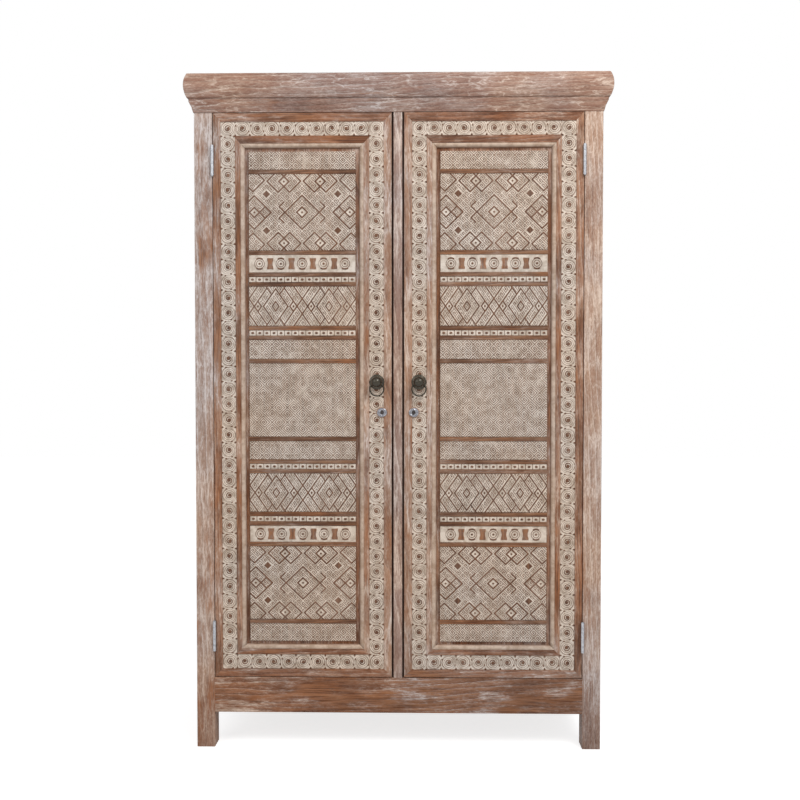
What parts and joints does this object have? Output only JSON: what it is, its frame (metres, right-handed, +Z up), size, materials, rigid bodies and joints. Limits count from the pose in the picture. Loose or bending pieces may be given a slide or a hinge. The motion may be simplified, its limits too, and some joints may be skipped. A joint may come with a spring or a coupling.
{
  "type": "carved two-door wardrobe",
  "caption": "Free-standing frame-and-panel wardrobe on square legs, with a moulded cornice, relief-carved doors, ring-pull knobs and cylinder locks.",
  "frame": {"origin": "on the floor, middle of the bounding box seen from above", "axes": "+Z up, -Y towards the viewer of the doors, +X to the right seen from the front"},
  "size_m": [1.132, 0.5436, 1.8],
  "materials": {
    "limed_teak": "reddish-brown teak, open grain, limed with a greyish pink white",
    "limed_carving": "relief carving, cream limewash on the raised faces over brown ground",
    "hinge_steel": "satin, slightly worn",
    "lock_chrome": "polished",
    "dark_bronze": "dark bronzed metal, semi-gloss"
  },
  "bodies": {
    "case": {"post_front_left": "limed_teak", "post_back_left": "limed_teak", "side_bottom_rail_left": "limed_teak", "side_top_rail_left": "limed_teak", "side_panel_left": "limed_teak", "cornice_left": "limed_teak", "case_hinge_leaves_left": "hinge_steel", "hinge_pins_left": "hinge_steel", "post_front_right": "limed_teak", "post_back_right": "limed_teak", "side_bottom_rail_right": "limed_teak", "side_top_rail_right": "limed_teak", "side_panel_right": "limed_teak", "cornice_right": "limed_teak", "case_hinge_leaves_right": "hinge_steel", "hinge_pins_right": "hinge_steel", "apron_rail": "limed_teak", "front_top_rail": "limed_teak", "back_bottom_rail": "limed_teak", "back_top_rail": "limed_teak", "back_boards": "limed_teak", "bottom_board": "limed_teak", "bottom_cleats": "limed_teak", "top_board": "limed_teak", "cornice_front": "limed_teak", "centre_mullion": "limed_teak", "shelf": "limed_teak", "shelf_cleats": "limed_teak", "hanging_rail": "limed_teak", "rail_sockets": "limed_teak", "door_stops": "limed_teak"},
    "door_left": {"door_left_hinge_stile": "limed_teak", "door_left_meeting_stile": "limed_teak", "door_left_bottom_rail": "limed_teak", "door_left_top_rail": "limed_teak", "door_left_panel": "limed_carving", "door_left_bead": "limed_teak", "door_hinge_leaves_left": "hinge_steel", "knob_left_rose": "dark_bronze", "knob_left": "dark_bronze", "lock_left_case": "lock_chrome"},
    "ring_left": {"ring_left": "dark_bronze"},
    "plug_left": {"lock_left_plug": "lock_chrome"},
    "bolt_left": {"lock_left_bolt": "lock_chrome"},
    "door_right": {"door_right_hinge_stile": "limed_teak", "door_right_meeting_stile": "limed_teak", "door_right_bottom_rail": "limed_teak", "door_right_top_rail": "limed_teak", "door_right_panel": "limed_carving", "door_right_bead": "limed_teak", "door_hinge_leaves_right": "hinge_steel", "knob_right_rose": "dark_bronze", "knob_right": "dark_bronze", "lock_right_case": "lock_chrome"},
    "ring_right": {"ring_right": "dark_bronze"},
    "plug_right": {"lock_right_plug": "lock_chrome"},
    "bolt_right": {"lock_right_bolt": "lock_chrome"}
  },
  "joints": [
    {"name": "door_left_hinge", "type": "hinge", "parent": "case", "child": "door_left", "pos_m": [-0.493, -0.23325, 0.9], "axis": [0, 0, -1], "range_deg": [0, 175]},
    {"name": "ring_left_swing", "type": "hinge", "parent": "door_left", "child": "ring_left", "pos_m": [-0.056, -0.23825, 0.9855], "axis": [-1, 0, 0], "range_deg": [-8, 175]},
    {"name": "lock_left_turn", "type": "hinge", "parent": "door_left", "child": "plug_left", "pos_m": [-0.0435, -0.22825, 0.9042], "axis": [0, 1, 0], "range_deg": [0, 90]},
    {"name": "bolt_left_slide", "type": "slide", "parent": "door_left", "child": "bolt_left", "axis": [1, 0, 0], "range_m": [0, 0.01]},
    {"name": "door_right_hinge", "type": "hinge", "parent": "case", "child": "door_right", "pos_m": [0.493, -0.23325, 0.9], "axis": [0, 0, 1], "range_deg": [0, 175]},
    {"name": "ring_right_swing", "type": "hinge", "parent": "door_right", "child": "ring_right", "pos_m": [0.056, -0.23825, 0.9855], "axis": [-1, 0, 0], "range_deg": [-8, 175]},
    {"name": "lock_right_turn", "type": "hinge", "parent": "door_right", "child": "plug_right", "pos_m": [0.0435, -0.22825, 0.9042], "axis": [0, -1, 0], "range_deg": [0, 90]},
    {"name": "bolt_right_slide", "type": "slide", "parent": "door_right", "child": "bolt_right", "axis": [-1, 0, 0], "range_m": [0, 0.01]}
  ],
  "couplings": [
    {"joint": "bolt_left_slide", "follows": "lock_left_turn", "m_per_rad": 0.006366},
    {"joint": "bolt_right_slide", "follows": "lock_right_turn", "m_per_rad": 0.006366}
  ]
}
